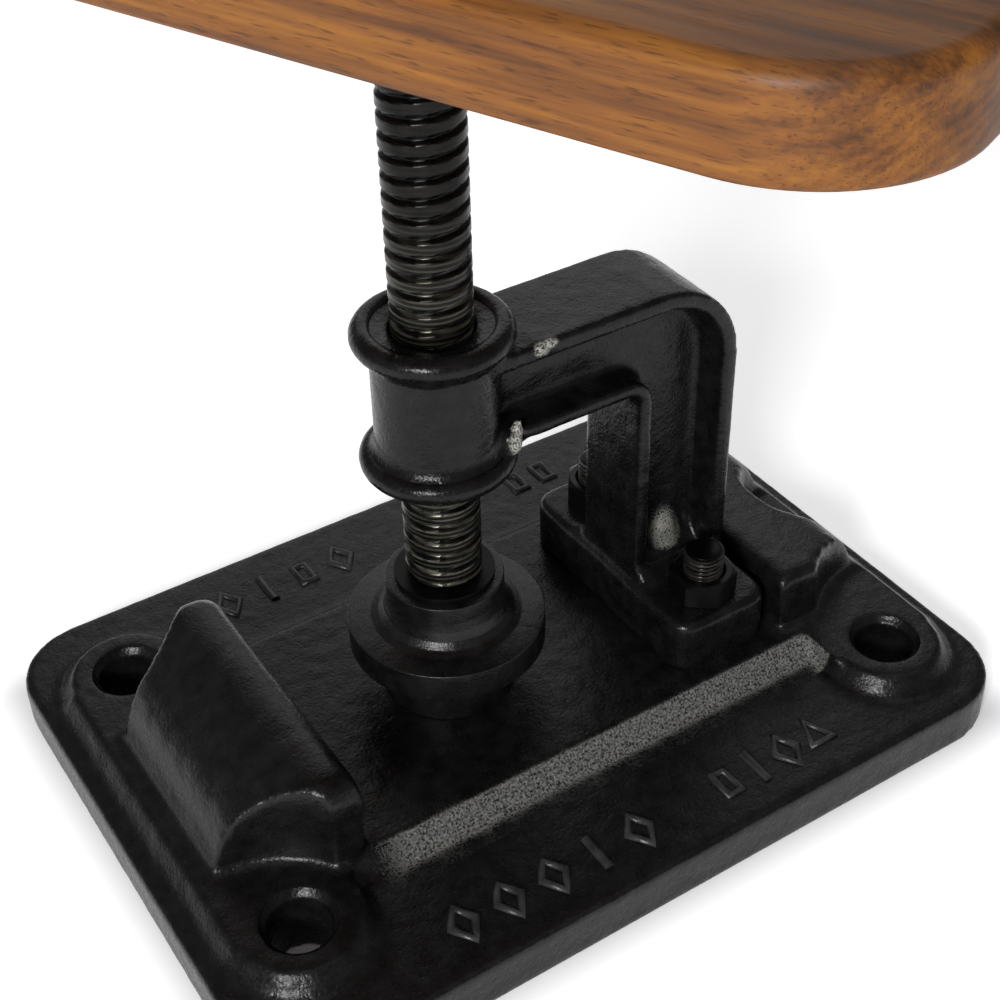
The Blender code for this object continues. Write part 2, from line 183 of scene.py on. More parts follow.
def link_piece(name, mesh, material, body, node=None):
    """Makes the object, gives it its finish and joins it to its body."""
    mesh.name = name
    mesh.materials.clear()
    mesh.materials.append(material)
    obj = bpy.data.objects.new(name, mesh)
    bpy.context.scene.collection.objects.link(obj)
    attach(obj, body)
    if node:
        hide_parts(node)


def shade(mesh, angle=None):
    mesh.shade_smooth()
    if angle is not None:
        mesh.set_sharp_from_angle(angle=math.radians(angle))


def baked(obj):
    """The object with its modifiers applied, as a new mesh; the object is removed."""
    graph = bpy.context.evaluated_depsgraph_get()
    mesh = bpy.data.meshes.new_from_object(obj.evaluated_get(graph))
    old = obj.data
    bpy.data.objects.remove(obj, do_unlink=True)
    if old.users == 0:
        bpy.data.meshes.remove(old)
    return mesh


def scratch_object(mesh):
    obj = bpy.data.objects.new("scratch", mesh)
    bpy.context.scene.collection.objects.link(obj)
    return obj


def mesh_from(bm):
    mesh = bpy.data.meshes.new("scratch")
    bm.to_mesh(mesh)
    bm.free()
    return mesh


def cad_copy(node):
    """A merged copy of a CAD node's mesh, whose faces already point outwards."""
    bm = bmesh.new()
    bm.from_mesh(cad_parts[node].data)
    bm.transform(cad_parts[node].matrix_world)
    bmesh.ops.remove_doubles(bm, verts=bm.verts, dist=1e-6)
    return bm


def turned(profile, centre, sides):
    """A turned solid about a vertical line; profile is a closed loop of (radius, z) in metres."""
    bm = bmesh.new()
    rings = []
    for r, z in profile:
        count = 1 if r < 1e-7 else sides
        ring = []
        for k in range(count):
            a = 2 * math.pi * k / sides
            ring.append(bm.verts.new((centre.x + r * math.cos(a), centre.y + r * math.sin(a), z)))
        rings.append(ring)
    for a, b in zip(rings, rings[1:] + rings[:1]):
        for k in range(sides):
            n = (k + 1) % sides
            quad = [a[k % len(a)], a[n % len(a)], b[n % len(b)], b[k % len(b)]]
            corners = list(dict.fromkeys(quad))
            if len(corners) > 2:
                bm.faces.new(corners)
    bmesh.ops.recalc_face_normals(bm, faces=bm.faces)
    return bm


def rounded(profile, radius, steps=3):
    """A closed (radius, z) profile with each corner rounded; corners on the axis stay sharp."""
    out = []
    count = len(profile)
    for k, point in enumerate(profile):
        here = Vector(point)
        before = Vector(profile[k - 1])
        after = Vector(profile[(k + 1) % count])
        if here.x < 1e-6:
            out.append(tuple(here))
            continue
        cut = min(radius, (before - here).length * 0.45, (after - here).length * 0.45)
        start = here + (before - here).normalized() * cut
        end = here + (after - here).normalized() * cut
        for s in range(steps + 1):
            t = s / steps
            out.append(tuple(start * (1 - t) ** 2 + here * 2 * t * (1 - t) + end * t ** 2))
    return out


def roughen(bm, height, size, seed, where=None):
    """Moves each point along its normal by soft noise of the given height and size."""
    bm.normal_update()
    offset = Vector((seed, seed * 0.7, seed * 1.3))
    for vert in bm.verts:
        amount = noise.fractal(vert.co / size + offset, 1.0, 2.0, 3)
        weight = where(vert.co) if where else 1.0
        vert.co += vert.normal * (height * amount * weight)


def cut_away(mesh, cutter, operation="DIFFERENCE"):
    obj = scratch_object(mesh)
    tool = scratch_object(cutter)
    modifier = obj.modifiers.new("cut", "BOOLEAN")
    modifier.operation = operation
    modifier.solver = "EXACT"
    modifier.object = tool
    result = baked(obj)
    bpy.data.objects.remove(tool, do_unlink=True)
    return result


# ---------------------------------------------------------------- materials
def from_centre(tree, spot, centre, size):
    """The spot measured from a place's centre, in its half sizes."""
    moved = put(tree, "ShaderNodeVectorMath", {0: spot, 1: tuple(-c for c in centre)}, operation="ADD")
    return put(
        tree, "ShaderNodeVectorMath", {0: moved.outputs[0], 1: tuple(1 / c for c in size)},
        operation="MULTIPLY",
    ).outputs[0]


def strip_mask(tree, spot, centre, size, uneven):
    """1 inside a straight strip (centre, half sizes), with a slightly ragged edge."""
    scaled = from_centre(tree, spot, centre, size)
    away = put(tree, "ShaderNodeVectorMath", {0: scaled}, operation="ABSOLUTE").outputs[0]
    part = put(tree, "ShaderNodeSeparateXYZ", {0: away}).outputs
    reach = put(tree, "ShaderNodeMath", {0: part["X"], 1: part["Y"]}, operation="MAXIMUM").outputs[0]
    reach = put(tree, "ShaderNodeMath", {0: reach, 1: part["Z"]}, operation="MAXIMUM").outputs[0]
    ragged = put(tree, "ShaderNodeMath", {0: uneven, 1: 0.35, 2: reach}, operation="MULTIPLY_ADD").outputs[0]
    return put(
        tree, "ShaderNodeMapRange",
        {"Value": ragged, "From Min": 1.22, "From Max": 1.14, "To Min": 0.0, "To Max": 1.0},
    ).outputs[0]


def patch_mask(tree, spot, patches, uneven):
    """1 inside any of the round patches (centre, half sizes), with a ragged edge."""
    total = None
    for centre, size in patches:
        scaled = from_centre(tree, spot, centre, size)
        reach = put(tree, "ShaderNodeVectorMath", {0: scaled}, operation="LENGTH").outputs["Value"]
        ragged = put(
            tree, "ShaderNodeMath", {0: uneven, 1: 1.1, 2: reach}, operation="MULTIPLY_ADD",
        ).outputs[0]
        mask = put(
            tree, "ShaderNodeMapRange",
            {"Value": ragged, "From Min": 1.55, "From Max": 1.35, "To Min": 0.0, "To Max": 1.0},
        ).outputs[0]
        if total:
            mask = put(tree, "ShaderNodeMath", {0: total, 1: mask}, operation="MAXIMUM").outputs[0]
        total = mask
    return total


def cast_iron(name, colour, roughness, shine, grain_mm=0.9, patches=(), strip=None, bare_hex="#72726f"):
    """Black-waxed grey cast iron: a satin skin pitted by moulding sand.

    The wax fills the hollows and shines softly. Where a slope or a ridge was left unwaxed, the metal is grey,
    gritty and dull: patches lists the round places and strip is the straight one, each as (centre, half
    sizes). A patch can also be a painted highlight in that grey.
    """
    material, tree, shader = new_material(name)
    spot = put(tree, "ShaderNodeTexCoord").outputs["Object"]
    fine = put(tree, "ShaderNodeTexNoise", {"Vector": spot, "Scale": 1 / (grain_mm * MM), "Detail": 4.0})
    broad = put(tree, "ShaderNodeTexNoise", {"Vector": spot, "Scale": 1 / (7 * MM), "Detail": 4.0})
    pits = put(tree, "ShaderNodeTexVoronoi", {"Vector": spot, "Scale": 1 / (3.1 * MM), "Randomness": 1.0})
    pitted = put(
        tree, "ShaderNodeMapRange",
        {"Value": pits.outputs["Distance"], "From Min": 0.05, "From Max": 0.28, "To Min": 0.0, "To Max": 1.0},
    ).outputs[0]
    gloss = put(
        tree, "ShaderNodeMapRange",
        {"Value": fine.outputs["Fac"], "From Min": 0.3, "From Max": 0.7,
         "To Min": roughness - 0.07, "To Max": roughness + 0.1},
    ).outputs[0]
    # wax lies thicker in some places, so the black varies a little
    thin = put(tree, "ShaderNodeMapRange", {"Value": broad.outputs["Fac"], "From Min": 0.35, "From Max": 0.7})
    tone = put(
        tree, "ShaderNodeMix",
        {"Factor": thin.outputs[0], "A": tuple(c * 0.6 for c in colour[:3]) + (1.0,),
         "B": tuple(c * 1.7 for c in colour[:3]) + (1.0,)},
        data_type="RGBA",
    ).outputs["Result"]
    rough, grit = gloss, 0.9
    if patches or strip:
        sand = put(tree, "ShaderNodeTexNoise", {"Vector": spot, "Scale": 1 / (0.9 * MM), "Detail": 4.0})
        if strip:
            mask = strip_mask(tree, spot, *strip, sand.outputs["Fac"])
        else:
            mask = patch_mask(tree, spot, patches, sand.outputs["Fac"])
        metal = ramp(
            put(tree, "ShaderNodeValToRGB", {"Fac": sand.outputs["Fac"]}),
            (0.36, "#141414"), (0.62, bare_hex),
        ).outputs["Color"]
        tone = put(
            tree, "ShaderNodeMix", {"Factor": mask, "A": tone, "B": metal}, data_type="RGBA",
        ).outputs["Result"]
        rough = put(tree, "ShaderNodeMapRange", {"Value": mask, "To Max": 0.55}).outputs[0]
        tree.links.new(gloss, rough.node.inputs["To Min"])
        grit = put(tree, "ShaderNodeMath", {0: mask, 1: 1.8, 2: 0.9}, operation="MULTIPLY_ADD").outputs[0]
    height = put(tree, "ShaderNodeMath", {0: fine.outputs["Fac"], 1: grit}, operation="MULTIPLY").outputs[0]
    hollow = put(
        tree, "ShaderNodeMath", {0: pitted, 1: 0.35, 2: height}, operation="MULTIPLY_ADD",
    ).outputs[0]
    relief = put(
        tree, "ShaderNodeMath", {0: broad.outputs["Fac"], 1: 2.2, 2: hollow}, operation="MULTIPLY_ADD",
    ).outputs[0]
    bump = put(tree, "ShaderNodeBump", {"Height": relief, "Strength": 0.8, "Distance": grain_mm * 0.2 * MM})
    wire_shader(tree, shader, tone, rough, bump)
    shader.inputs["IOR"].default_value = 1.5
    shader.inputs["Specular IOR Level"].default_value = shine
    return material


def bar_steel(name, colour, centre, crest, root, fine_below=0.0):
    """Rolled and cut bar steel under oil: bright where the thread's crest rubs, dark in its root.

    Below fine_below, if it is given, the bar has fine bright lines.
    """
    material, tree, shader = new_material(name)
    spot = put(tree, "ShaderNodeTexCoord").outputs["Object"]
    moved = put(
        tree, "ShaderNodeVectorMath", {0: spot, 1: (-centre.x, -centre.y, 0.0)}, operation="ADD",
    ).outputs[0]
    flat = put(
        tree, "ShaderNodeVectorMath", {0: moved, 1: (1.0, 1.0, 0.0)}, operation="MULTIPLY",
    ).outputs[0]
    reach = put(tree, "ShaderNodeVectorMath", {0: flat}, operation="LENGTH").outputs["Value"]
    worn = put(
        tree, "ShaderNodeMapRange", {"Value": reach, "From Min": root, "From Max": crest},
        interpolation_type="SMOOTHSTEP",
    ).outputs[0]
    # tool and wear lines run round the bar, about 1 mm apart, which is as fine as shows
    lines = put(
        tree, "ShaderNodeMapping", {"Vector": moved, "Scale": (0.08, 0.08, 1.0)}, vector_type="POINT",
    ).outputs[0]
    tool = put(tree, "ShaderNodeTexNoise", {"Vector": lines, "Scale": 1 / (1.0 * MM), "Detail": 2.0})
    grime = put(tree, "ShaderNodeTexNoise", {"Vector": moved, "Scale": 1 / (6 * MM), "Detail": 5.0})
    streaks = put(
        tree, "ShaderNodeMath", {0: tool.outputs["Fac"], 1: grime.outputs["Fac"]}, operation="ADD",
    ).outputs[0]
    patch = put(
        tree, "ShaderNodeMapRange",
        {"Value": streaks, "From Min": 0.8, "From Max": 1.3, "To Min": 0.2, "To Max": 1.3},
    ).outputs[0]
    shine = put(tree, "ShaderNodeMath", {0: worn, 1: patch}, operation="MULTIPLY", use_clamp=True).outputs[0]
    tone = put(
        tree, "ShaderNodeMix", {"Factor": shine, "A": linear("#0c0c0c"), "B": colour}, data_type="RGBA",
    )
    if fine_below:
        # the stretch that runs in the boss is polished, with fine lines 2 mm apart, and fades out above
        height = put(tree, "ShaderNodeSeparateXYZ", {0: moved}).outputs["Z"]
        line = put(
            tree, "ShaderNodeMath", {0: height, 1: 2 * math.pi / (2.0 * MM)}, operation="MULTIPLY",
        ).outputs[0]
        wave = put(tree, "ShaderNodeMath", {0: line}, operation="SINE").outputs[0]
        bright = put(
            tree, "ShaderNodeMath", {0: tool.outputs["Fac"], 1: 1.6, 2: wave}, operation="MULTIPLY_ADD",
        ).outputs[0]
        narrow = put(
            tree, "ShaderNodeMapRange", {"Value": bright, "From Min": 0.7, "From Max": 1.6},
        ).outputs[0]
        lower = put(
            tree, "ShaderNodeMapRange",
            {"Value": height, "From Min": fine_below, "From Max": fine_below + 70 * MM,
             "To Min": 0.9, "To Max": 0.0},
        ).outputs[0]
        worn_line = put(tree, "ShaderNodeMath", {0: narrow, 1: lower}, operation="MULTIPLY").outputs[0]
        tone = put(
            tree, "ShaderNodeMix",
            {"Factor": worn_line, "A": tone.outputs["Result"], "B": linear("#55544a")}, data_type="RGBA",
        )
    rough = put(
        tree, "ShaderNodeMapRange",
        {"Value": tool.outputs["Fac"], "From Min": 0.2, "From Max": 0.8, "To Min": 0.22, "To Max": 0.46},
    )
    bump = put(
        tree, "ShaderNodeBump", {"Height": tool.outputs["Fac"], "Strength": 0.6, "Distance": 0.14 * MM},
    )
    wire_shader(tree, shader, tone.outputs["Result"], rough.outputs[0], bump)
    shader.inputs["Metallic"].default_value = 0.85
    return material


def plain_steel(name, colour, roughness):
    """Turned or plated steel: fine tool grain under a thin dull film."""
    material, tree, shader = new_material(name)
    spot = put(tree, "ShaderNodeTexCoord").outputs["Object"]
    grain = put(tree, "ShaderNodeTexNoise", {"Vector": spot, "Scale": 1 / (0.8 * MM), "Detail": 3.0})
    blotch = put(tree, "ShaderNodeTexNoise", {"Vector": spot, "Scale": 1 / (7 * MM), "Detail": 3.0})
    tone = put(
        tree, "ShaderNodeMix",
        {"Factor": blotch.outputs["Fac"], "A": colour, "B": tuple(c * 0.6 for c in colour[:3]) + (1.0,)},
        data_type="RGBA",
    )
    rough = put(
        tree, "ShaderNodeMapRange",
        {"Value": grain.outputs["Fac"], "To Min": roughness - 0.08, "To Max": roughness + 0.1},
    )
    bump = put(
        tree, "ShaderNodeBump", {"Height": grain.outputs["Fac"], "Strength": 0.25, "Distance": 0.05 * MM},
    )
    wire_shader(tree, shader, tone.outputs["Result"], rough.outputs[0], bump)
    shader.inputs["Metallic"].default_value = 0.9
    return material


def oiled_walnut():
    """Oiled walnut board: growth rings 4 mm apart cut nearly flat, with fine dark pores along the grain."""
    material, tree, shader = new_material("oiled_walnut")
    spot = put(tree, "ShaderNodeTexCoord").outputs["Object"]
    centred = put(
        tree, "ShaderNodeVectorMath", {0: spot, 1: (-AXIS.x, -AXIS.y, -low("seat_board").z)}, operation="ADD",
    ).outputs[0]
    along = put(
        tree, "ShaderNodeVectorRotate", {"Vector": centred, "Angle": -SEAT_ANGLE}, rotation_type="Z_AXIS",
    ).outputs[0]
    # the heart of the tree lies 120 mm below the board, towards one side
    ring_space = put(
        tree, "ShaderNodeVectorMath", {0: along, 1: (0.0, 0.045, 0.12)}, operation="ADD",
    ).outputs[0]
    stretched = put(
        tree, "ShaderNodeMapping", {"Vector": along, "Scale": (0.09, 1.0, 1.0)}, vector_type="POINT",
    ).outputs[0]
    drift = put(tree, "ShaderNodeTexNoise", {"Vector": stretched, "Scale": 1 / (38 * MM), "Detail": 3.0})
    across = put(
        tree, "ShaderNodeVectorMath", {0: ring_space, 1: (0.0, 1.0, 1.0)}, operation="MULTIPLY",
    ).outputs[0]
    reach = put(tree, "ShaderNodeVectorMath", {0: across}, operation="LENGTH").outputs["Value"]
    swollen = put(
        tree, "ShaderNodeMath", {0: drift.outputs["Fac"], 1: 26 * MM, 2: reach}, operation="MULTIPLY_ADD",
    ).outputs[0]
    phase = put(tree, "ShaderNodeMath", {0: swollen, 1: 2 * math.pi / (4.2 * MM)}, operation="MULTIPLY")
    wave = put(tree, "ShaderNodeMath", {0: phase.outputs[0]}, operation="SINE")
    ring = put(
        tree, "ShaderNodeMapRange", {"Value": wave.outputs[0], "From Min": -1.0, "From Max": 1.0},
    ).outputs[0]
    fibre_space = put(
        tree, "ShaderNodeMapping", {"Vector": along, "Scale": (0.045, 1.0, 1.0)}, vector_type="POINT",
    ).outputs[0]
    fibre = put(
        tree, "ShaderNodeTexNoise", {"Vector": fibre_space, "Scale": 1 / (1.1 * MM), "Detail": 4.0},
    )
    streak = put(
        tree, "ShaderNodeTexNoise", {"Vector": stretched, "Scale": 1 / (9 * MM), "Detail": 4.0},
    )
    blend = put(
        tree, "ShaderNodeMath", {0: ring, 1: 0.12, 2: streak.outputs["Fac"]}, operation="MULTIPLY_ADD",
    )
    body = put(
        tree, "ShaderNodeMath", {0: fibre.outputs["Fac"], 1: 0.55, 2: blend.outputs[0]},
        operation="MULTIPLY_ADD",
    )
    spread = put(tree, "ShaderNodeMapRange", {"Value": body.outputs[0], "From Min": 0.45, "From Max": 1.15})
    tone = ramp(
        put(tree, "ShaderNodeValToRGB", {"Fac": spread.outputs[0]}),
        (0.0, "#34200e"), (0.35, "#583415"), (0.65, "#724519"), (1.0, "#87571d"),
    )
    tone.color_ramp.elements[2].color = tuple(colours().walnut)
    pore_space = put(
        tree, "ShaderNodeMapping", {"Vector": along, "Scale": (0.09, 1.0, 1.0)}, vector_type="POINT",
    ).outputs[0]
    pore = put(
        tree, "ShaderNodeTexNoise", {"Vector": pore_space, "Scale": 1 / (0.55 * MM), "Detail": 1.0},
    )
    pores = put(
        tree, "ShaderNodeMapRange",
        {"Value": pore.outputs["Fac"], "From Min": 0.60, "From Max": 0.72, "To Min": 0.0, "To Max": 0.5},
    ).outputs[0]
    stained = put(
        tree, "ShaderNodeMix",
        {"Factor": pores, "A": tone.outputs["Color"], "B": linear("#2c170b")}, data_type="RGBA",
    )
    rough = put(
        tree, "ShaderNodeMapRange",
        {"Value": fibre.outputs["Fac"], "From Min": 0.3, "From Max": 0.7, "To Min": 0.42, "To Max": 0.56},
    )
    deep = put(tree, "ShaderNodeMath", {0: fibre.outputs["Fac"], 1: pores}, operation="SUBTRACT")
    bump = put(tree, "ShaderNodeBump", {"Height": deep.outputs[0], "Strength": 0.25, "Distance": 0.05 * MM})
    wire_shader(tree, shader, stained.outputs["Result"], rough.outputs[0], bump)
    shader.inputs["IOR"].default_value = 1.47
    shader.inputs["Specular IOR Level"].default_value = 0.3
    return material


# ---------------------------------------------------------------- geometry node trees
def new_tree(name, **inputs):
    """A geometry tree with named inputs, a material among them, and the sockets that they come from."""
    tree = bpy.data.node_groups.new(name, "GeometryNodeTree")
    for label, default in inputs.items():
        kind = "NodeSocketInt" if isinstance(default, int) else "NodeSocketFloat"
        socket = tree.interface.new_socket(name=label, in_out="INPUT", socket_type=kind)
        socket.default_value = default
    tree.interface.new_socket(name="material", in_out="INPUT", socket_type="NodeSocketMaterial")
    tree.interface.new_socket(name="Geometry", in_out="OUTPUT", socket_type="NodeSocketGeometry")
    return tree, put(tree, "NodeGroupInput").outputs


def close_tree(tree, geometry, given):
    """Ends a tree in real, finished geometry."""
    real = put(tree, "GeometryNodeRealizeInstances", {"Geometry": geometry}).outputs[0]
    finished = put(
        tree, "GeometryNodeSetMaterial", {"Geometry": real, "Material": given["material"]},
    ).outputs[0]
    put(tree, "NodeGroupOutput", {"Geometry": finished})
    return tree


def thread_tree():
    """A tree that turns a flat grid into a right-hand thread about Z, standing on Z = 0."""
    tree, given = new_tree(
        "helical_thread", radius=0.01, depth=0.001, pitch=0.005, length=0.1, sides=72, rows=300,
    )
    grid = put(
        tree, "GeometryNodeMeshGrid",
        {"Size X": 1.0, "Size Y": 1.0, "Vertices X": given["sides"], "Vertices Y": given["rows"]},
    )
    place = put(tree, "GeometryNodeInputPosition").outputs[0]
    part = put(tree, "ShaderNodeSeparateXYZ", {0: place}).outputs
    share = put(tree, "ShaderNodeMath", {0: part["X"], 1: 0.5}, operation="ADD").outputs[0]
    rise = put(tree, "ShaderNodeMath", {0: part["Y"], 1: 0.5}, operation="ADD").outputs[0]
    z = put(tree, "ShaderNodeMath", {0: rise, 1: given["length"]}, operation="MULTIPLY").outputs[0]
    turns = put(tree, "ShaderNodeMath", {0: z, 1: given["pitch"]}, operation="DIVIDE").outputs[0]
    lead = put(tree, "ShaderNodeMath", {0: turns, 1: share}, operation="SUBTRACT").outputs[0]
    phase = put(tree, "ShaderNodeMath", {0: lead}, operation="FRACT").outputs[0]
    into = put(
        tree, "ShaderNodeMapRange", {"Value": phase, "From Min": 0.50, "From Max": 0.70},
        interpolation_type="SMOOTHSTEP",
    ).outputs[0]
    out = put(
        tree, "ShaderNodeMapRange", {"Value": phase, "From Min": 0.79, "From Max": 0.97},
        interpolation_type="SMOOTHSTEP",
    ).outputs[0]
    groove = put(tree, "ShaderNodeMath", {0: into, 1: out}, operation="SUBTRACT").outputs[0]
    worn = put(
        tree, "ShaderNodeMath", {0: groove, 1: given["depth"]}, operation="MULTIPLY",
    ).outputs[0]
    threaded = put(tree, "ShaderNodeMath", {0: given["radius"], 1: worn}, operation="SUBTRACT").outputs[0]
    # the lower end is chamfered, so that the thread starts cleanly
    shoulder = put(
        tree, "ShaderNodeMath", {0: given["radius"], 1: given["depth"]}, operation="SUBTRACT",
    ).outputs[0]
    bevel = put(tree, "ShaderNodeMath", {0: shoulder, 1: z}, operation="ADD").outputs[0]
    radius = put(tree, "ShaderNodeMath", {0: threaded, 1: bevel}, operation="MINIMUM").outputs[0]
    angle = put(tree, "ShaderNodeMath", {0: share, 1: 2 * math.pi}, operation="MULTIPLY").outputs[0]
    cosine = put(tree, "ShaderNodeMath", {0: angle}, operation="COSINE").outputs[0]
    sine = put(tree, "ShaderNodeMath", {0: angle}, operation="SINE").outputs[0]
    x = put(tree, "ShaderNodeMath", {0: cosine, 1: radius}, operation="MULTIPLY").outputs[0]
    y = put(tree, "ShaderNodeMath", {0: sine, 1: radius}, operation="MULTIPLY").outputs[0]
    spot = put(tree, "ShaderNodeCombineXYZ", {"X": x, "Y": y, "Z": z}).outputs[0]
    placed = put(
        tree, "GeometryNodeSetPosition", {"Geometry": grid.outputs["Mesh"], "Position": spot},
    ).outputs[0]
    closed = put(
        tree, "GeometryNodeMergeByDistance", {"Geometry": placed, "Distance": 1e-6},
    ).outputs[0]
    return close_tree(tree, closed, given)


def marks_tree():
    """A tree that sets a row of raised bars, lozenges, triangles and rectangles along X, on Z = 0."""
    tree, given = new_tree(
        "cast_marks", count=5, spacing=0.018, mark_size=0.016, stroke=0.0016, seed=4,
    )
    step = put(tree, "ShaderNodeCombineXYZ", {"X": given["spacing"]}).outputs[0]
    row = put(
        tree, "GeometryNodeMeshLine", {"Count": given["count"], "Offset": step}, mode="OFFSET",
    ).outputs[0]
    half = put(tree, "ShaderNodeMath", {0: given["mark_size"], 1: 0.5}, operation="MULTIPLY").outputs[0]
    back = put(tree, "ShaderNodeMath", {0: half, 1: -1.0}, operation="MULTIPLY").outputs[0]
    bar = put(
        tree, "GeometryNodeCurvePrimitiveLine",
        {"Start": put(tree, "ShaderNodeCombineXYZ", {"Y": back}).outputs[0],
         "End": put(tree, "ShaderNodeCombineXYZ", {"Y": half}).outputs[0]},
    ).outputs[0]
    section = put(
        tree, "GeometryNodeCurvePrimitiveCircle", {"Resolution": 10, "Radius": given["stroke"]},
    ).outputs[0]
    shapes = put(tree, "GeometryNodeGeometryToInstance")
    upright = put(
        tree, "GeometryNodeCurveToMesh", {"Curve": bar, "Profile Curve": section, "Fill Caps": True},
    ).outputs[0]
    tree.links.new(upright, shapes.inputs[0])
    for corners, width, turn in ((4, 0.85, 0.0), (3, 1.0, math.pi / 2), (4, 0.72, math.pi / 4)):
        frame_line = put(
            tree, "GeometryNodeCurvePrimitiveCircle", {"Resolution": corners, "Radius": half},
        ).outputs[0]
        stood = put(
            tree, "GeometryNodeTransform", {"Geometry": frame_line, "Rotation": (0.0, 0.0, turn)},
        ).outputs[0]
        narrow = put(
            tree, "GeometryNodeTransform", {"Geometry": stood, "Scale": (width * 0.75, 1.0, 1.0)},
        ).outputs[0]
        solid = put(
            tree, "GeometryNodeCurveToMesh", {"Curve": narrow, "Profile Curve": section},
        ).outputs[0]
        tree.links.new(solid, shapes.inputs[0])
    choice = put(
        tree, "FunctionNodeRandomValue", {"Seed": given["seed"]}, data_type="INT",
    )
    choice.inputs[4].default_value = 0
    choice.inputs[5].default_value = 3
    set_marks = put(
        tree, "GeometryNodeInstanceOnPoints",
        {"Points": row, "Instance": shapes.outputs[0], "Pick Instance": True,
         "Instance Index": choice.outputs[2]},
    ).outputs[0]
    return close_tree(tree, set_marks, given)


def from_tree(tree, **values):
    """Runs a tree on an empty mesh with the named inputs and returns the plain mesh."""
    obj = scratch_object(bpy.data.meshes.new("scratch"))
    modifier = obj.modifiers.new("nodes", "NODES")
    modifier.node_group = tree
    for item in tree.interface.items_tree:
        if getattr(item, "in_out", "") == "INPUT" and item.name in values:
            modifier[item.identifier] = values[item.name]
    return baked(obj)


# ---------------------------------------------------------------- castings
def soften(mesh, passes, hollow, edge):
    """Smooths a fine even mesh, filling its hollow corners faster than it rounds its outer edges."""
    count = len(mesh.vertices)
    spots = np.empty(count * 3)
    normals = np.empty(count * 3, np.float32)
    ends = np.empty(len(mesh.edges) * 2, np.int32)
    mesh.vertices.foreach_get("co", spots)
    mesh.edges.foreach_get("vertices", ends)
    spots = spots.reshape(-1, 3)
    ends = ends.reshape(-1, 2)
    near = np.bincount(ends.ravel(), minlength=count)[:, None]
    for _ in range(passes):
        mesh.vertices.foreach_set("co", spots.ravel())
        mesh.update()
        mesh.vertex_normals.foreach_get("vector", normals)
        total = np.empty_like(spots)
        for k in range(3):
            total[:, k] = np.bincount(ends[:, 0], spots[ends[:, 1], k], count)
            total[:, k] += np.bincount(ends[:, 1], spots[ends[:, 0], k], count)
        pull = total / near - spots
        outward = (pull * normals.reshape(-1, 3)).sum(axis=1, keepdims=True)
        spots = spots + pull * np.where(outward > 0, hollow, edge)
    mesh.vertices.foreach_set("co", spots.ravel())
    mesh.update()


def cast_skin(bm, grain, passes, hollow, edge):
    """Turns a sharp solid into a casting: a fine even mesh, then soft corners."""
    obj = scratch_object(mesh_from(bm))
    remesh = obj.modifiers.new("even", "REMESH")
    remesh.mode = "VOXEL"
    remesh.voxel_size = grain
    mesh = baked(obj)
    soften(mesh, passes, hollow, edge)
    return mesh


# the pad's front slope, left unwaxed between the jaws: centre and half sizes
BARE_SLOPE = ((0.0125, -0.0645, 0.0252), (0.103, 0.012, 0.0040))


class STOOL_OT_base(bpy.types.Operator):
    """Build the cast base plate with its jaws, platforms and corner holes"""

    bl_idname = "stool.base"
    bl_label = "Base plate"

    def execute(self, context):
        bm = cad_copy("base_plate")
        # the solid's low marks are laid flat, because the finer ones take their place
        for vert in bm.verts:
            low_mark = FLANGE_TOP < vert.co.z < FLANGE_TOP + 1.8 * MM
            if low_mark and abs(vert.co.y) > 82.5 * MM and abs(vert.co.x) < 108 * MM:
                vert.co.z = FLANGE_TOP
        mesh = cast_skin(bm, sizes().base_grain, passes=9, hollow=0.6, edge=0.17)
        cutters = bmesh.new()
        for x, y in CORNER_HOLES:
            # a straight bore with a rounded rim, in mm from the platform's top
            outline = [
                (0, -31.5), (11.6, -31.5), (11.6, -3.4), (12.4, -2.2), (14.2, -0.9), (14.9, 2), (0, 2),
            ]
            profile = [(r * MM, PAD_TOP + z * MM) for r, z in outline]
            hole = mesh_from(turned(profile, Vector((x, y, 0)), sides=64))
            cutters.from_mesh(hole)
            bpy.data.meshes.remove(hole)
        mesh = cut_away(mesh, mesh_from(cutters))
        bm = bmesh.new()
        bm.from_mesh(mesh)
        roughen(bm, sizes().skin, size=7 * MM, seed=3.1, where=lambda spot: float(spot.z > 2 * MM))
        bm.to_mesh(mesh)
        bm.free()
        shade(mesh, 50)
        iron = cast_iron(
            "waxed_cast_iron_base", tuple(colours().iron), roughness=0.3, shine=0.25, grain_mm=1.2,
            strip=BARE_SLOPE,
        )
        link_piece("base_casting", mesh, iron, "stand", "base_plate")
        return {"FINISHED"}


